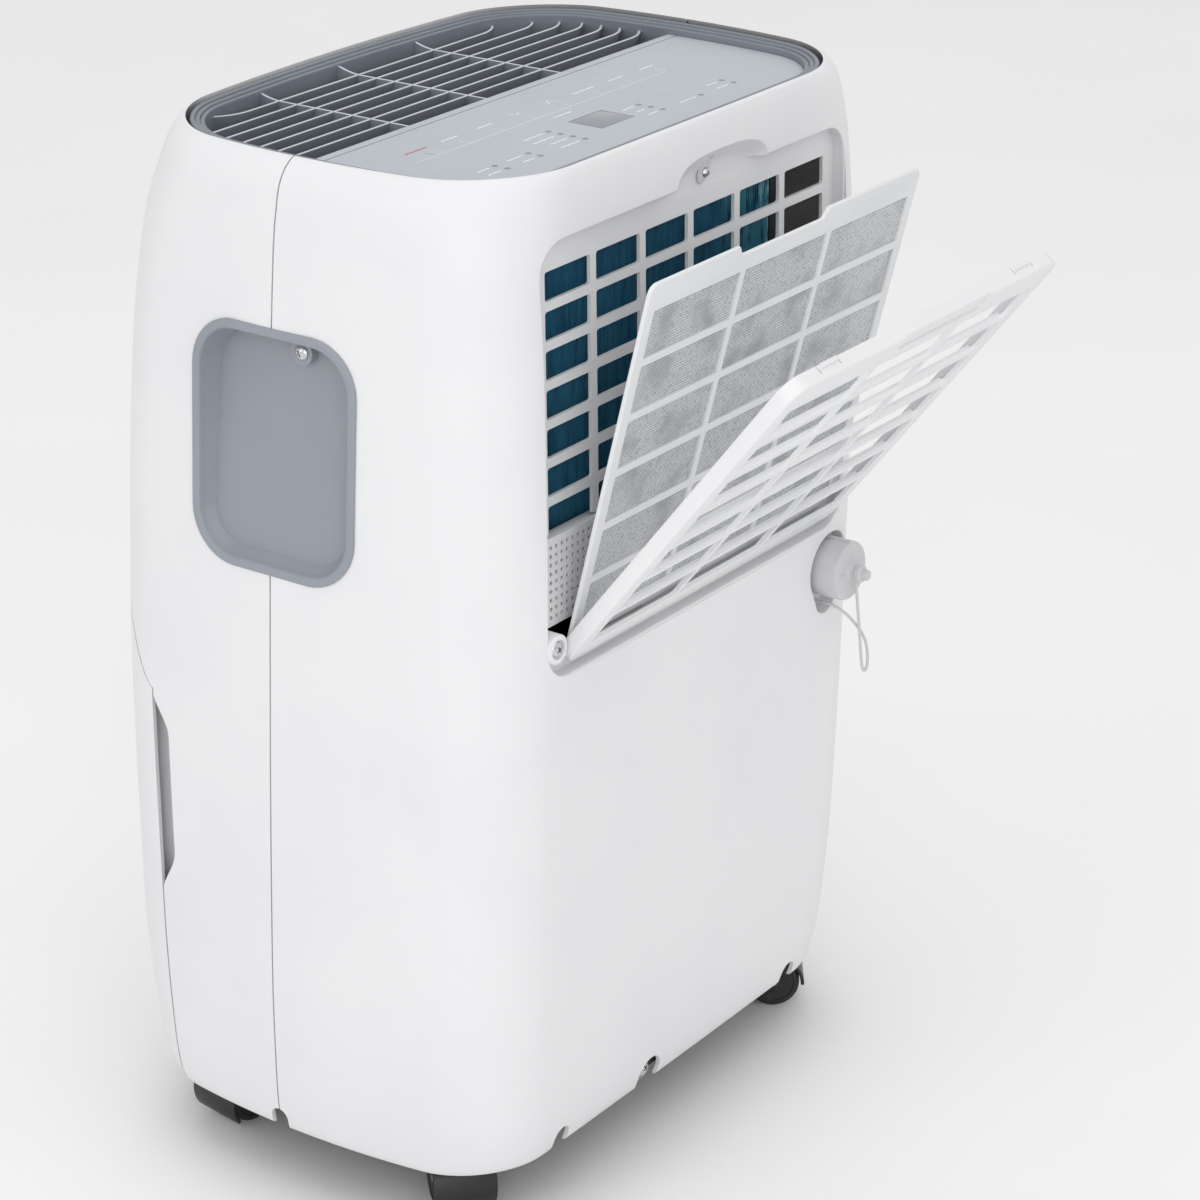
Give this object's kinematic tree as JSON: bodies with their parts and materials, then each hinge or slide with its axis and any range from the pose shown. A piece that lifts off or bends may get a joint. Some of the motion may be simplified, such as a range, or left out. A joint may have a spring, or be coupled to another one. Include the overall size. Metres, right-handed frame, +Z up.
{
  "type": "dehumidifier",
  "caption": "Portable compressor dehumidifier: rear intake flap with lift-out filter, front water bucket, side grips, top air outlet, tethered drain cap and swivel casters.",
  "frame": {"origin": "centre of the bounding box at the floor, under the casters", "axes": "+Z up; +Y towards the back with the air intake and its open flap; -Y towards the front with the water bucket; +X to the right of someone who faces the bucket"},
  "size_m": [0.406, 0.4364, 0.616],
  "materials": {
    "shell_white": "satin moulded white",
    "flap_white": "satin moulded white",
    "filter_white": "matt moulded white",
    "filter_net": "fine woven netting",
    "grille_grey": "satin slate grey",
    "panel_grey": "satin light blue grey",
    "display_grey": "glossy smoked",
    "grip_grey": "satin slate grey",
    "cap_grey": "satin light grey",
    "tank_grey": "matt grey",
    "caster_black": "satin black",
    "fin_blue": "blue coated fins",
    "fin_aluminium": "bare fins",
    "copper": "drawn copper tube",
    "motor_steel": "zinc plated",
    "screw_chrome": "nickel plated",
    "compressor_black": "semi gloss black",
    "inner_black": "matt black",
    "foot_rubber": "matt black rubber",
    "board_green": "solder mask green",
    "foam_white": "closed cell foam"
  },
  "bodies": {
    "cabinet": {"back_screw": "screw_chrome", "base_pan": "inner_black", "base_screw": "screw_chrome", "bucket_switch": "inner_black", "compressor": "compressor_black", "compressor_foot_1": "foot_rubber", "compressor_foot_2": "foot_rubber", "compressor_foot_3": "foot_rubber", "condenser_coil": "fin_aluminium", "control_board": "board_green", "control_panel": "panel_grey", "discharge_pipe": "copper", "display_window": "display_grey", "drain_pan": "inner_black", "drain_spout": "cap_grey", "evaporator_coil": "fin_blue", "fan_housing": "inner_black", "fan_motor": "motor_steel", "front_shell": "shell_white", "grip_screw_left": "screw_chrome", "grip_screw_right": "screw_chrome", "outlet_grille": "grille_grey", "partition": "inner_black", "rear_shell": "shell_white", "run_capacitor": "motor_steel", "sensor_cover": "shell_white", "side_grip_left": "grip_grey", "side_grip_right": "grip_grey", "suction_pipe": "copper"},
    "bucket": {"bucket": "shell_white", "bucket_cover": "tank_grey"},
    "float": {"bucket_float": "foam_white"},
    "cap": {"cap_tether": "cap_grey", "drain_cap": "cap_grey"},
    "caster_front_left": {"caster_front_left_axle": "motor_steel", "caster_front_left_fork": "caster_black"},
    "caster_front_left_wheel_inner": {"caster_front_left_wheel_inner": "caster_black"},
    "caster_front_left_wheel_outer": {"caster_front_left_wheel_outer": "caster_black"},
    "caster_front_right": {"caster_front_right_axle": "motor_steel", "caster_front_right_fork": "caster_black"},
    "caster_front_right_wheel_inner": {"caster_front_right_wheel_inner": "caster_black"},
    "caster_front_right_wheel_outer": {"caster_front_right_wheel_outer": "caster_black"},
    "caster_rear_left": {"caster_rear_left_axle": "motor_steel", "caster_rear_left_fork": "caster_black"},
    "caster_rear_left_wheel_inner": {"caster_rear_left_wheel_inner": "caster_black"},
    "caster_rear_left_wheel_outer": {"caster_rear_left_wheel_outer": "caster_black"},
    "caster_rear_right": {"caster_rear_right_axle": "motor_steel", "caster_rear_right_fork": "caster_black"},
    "caster_rear_right_wheel_inner": {"caster_rear_right_wheel_inner": "caster_black"},
    "caster_rear_right_wheel_outer": {"caster_rear_right_wheel_outer": "caster_black"},
    "impeller": {"fan_impeller": "inner_black"},
    "filter": {"filter_frame": "filter_white", "filter_mesh": "filter_net"},
    "flap": {"rear_flap": "flap_white"}
  },
  "joints": [
    {"name": "flap_swing", "type": "hinge", "parent": "cabinet", "child": "flap", "pos_m": [0, 0.07485, 0.352], "axis": [1, 0, 0], "range_deg": [0, 38]},
    {"name": "filter_tilt", "type": "hinge", "parent": "flap", "child": "filter", "pos_m": [0, 0.07558, 0.35651], "axis": [1, 0, 0], "range_deg": [-24, 0]},
    {"name": "drain_cap_pull", "type": "slide", "parent": "cabinet", "child": "cap", "axis": [0, 1, 0], "range_m": [0, 0.03]},
    {"name": "bucket_slide", "type": "slide", "parent": "cabinet", "child": "bucket", "axis": [0, -1, 0], "range_m": [0, 0.17]},
    {"name": "float_swing", "type": "hinge", "parent": "bucket", "child": "float", "pos_m": [0.095, -0.09915, 0.205], "axis": [-1, 0, 0], "range_deg": [0, 20]},
    {"name": "fan_spin", "type": "hinge", "parent": "cabinet", "child": "impeller", "pos_m": [0, -0.09815, 0.45], "axis": [0, 1, 0], "continuous": true},
    {"name": "caster_front_right_swivel", "type": "hinge", "parent": "cabinet", "child": "caster_front_right", "pos_m": [0.155, -0.15715, 0.045], "axis": [0, 0, 1], "continuous": true},
    {"name": "caster_front_right_wheel_inner_spin", "type": "hinge", "parent": "caster_front_right", "child": "caster_front_right_wheel_inner", "pos_m": [0.14512, -0.15559, 0.0165], "axis": [-0.1564, -0.9877, 0], "continuous": true},
    {"name": "caster_front_right_wheel_outer_spin", "type": "hinge", "parent": "caster_front_right", "child": "caster_front_right_wheel_outer", "pos_m": [0.14512, -0.15559, 0.0165], "axis": [-0.1564, -0.9877, 0], "continuous": true},
    {"name": "caster_front_left_swivel", "type": "hinge", "parent": "cabinet", "child": "caster_front_left", "pos_m": [-0.155, -0.15715, 0.045], "axis": [0, 0, 1], "continuous": true},
    {"name": "caster_front_left_wheel_inner_spin", "type": "hinge", "parent": "caster_front_left", "child": "caster_front_left_wheel_inner", "pos_m": [-0.1644, -0.16057, 0.0165], "axis": [0.342, -0.9397, 0], "continuous": true},
    {"name": "caster_front_left_wheel_outer_spin", "type": "hinge", "parent": "caster_front_left", "child": "caster_front_left_wheel_outer", "pos_m": [-0.1644, -0.16057, 0.0165], "axis": [0.342, -0.9397, 0], "continuous": true},
    {"name": "caster_rear_right_swivel", "type": "hinge", "parent": "cabinet", "child": "caster_rear_right", "pos_m": [0.155, 0.02035, 0.045], "axis": [0, 0, 1], "continuous": true},
    {"name": "caster_rear_right_wheel_inner_spin", "type": "hinge", "parent": "caster_rear_right", "child": "caster_rear_right_wheel_inner", "pos_m": [0.14864, 0.01263, 0.0165], "axis": [0.7716, -0.6361, 0], "continuous": true},
    {"name": "caster_rear_right_wheel_outer_spin", "type": "hinge", "parent": "caster_rear_right", "child": "caster_rear_right_wheel_outer", "pos_m": [0.14864, 0.01263, 0.0165], "axis": [0.7716, -0.6361, 0], "continuous": true},
    {"name": "caster_rear_left_swivel", "type": "hinge", "parent": "cabinet", "child": "caster_rear_left", "pos_m": [-0.155, 0.02035, 0.045], "axis": [0, 0, 1], "continuous": true},
    {"name": "caster_rear_left_wheel_inner_spin", "type": "hinge", "parent": "caster_rear_left", "child": "caster_rear_left_wheel_inner", "pos_m": [-0.16072, 0.02855, 0.0165], "axis": [-0.8202, -0.5721, 0], "continuous": true},
    {"name": "caster_rear_left_wheel_outer_spin", "type": "hinge", "parent": "caster_rear_left", "child": "caster_rear_left_wheel_outer", "pos_m": [-0.16072, 0.02855, 0.0165], "axis": [-0.8202, -0.5721, 0], "continuous": true}
  ],
  "couplings": [
    {"joint": "filter_tilt", "follows": "flap_swing", "ratio": -0.63158}
  ]
}
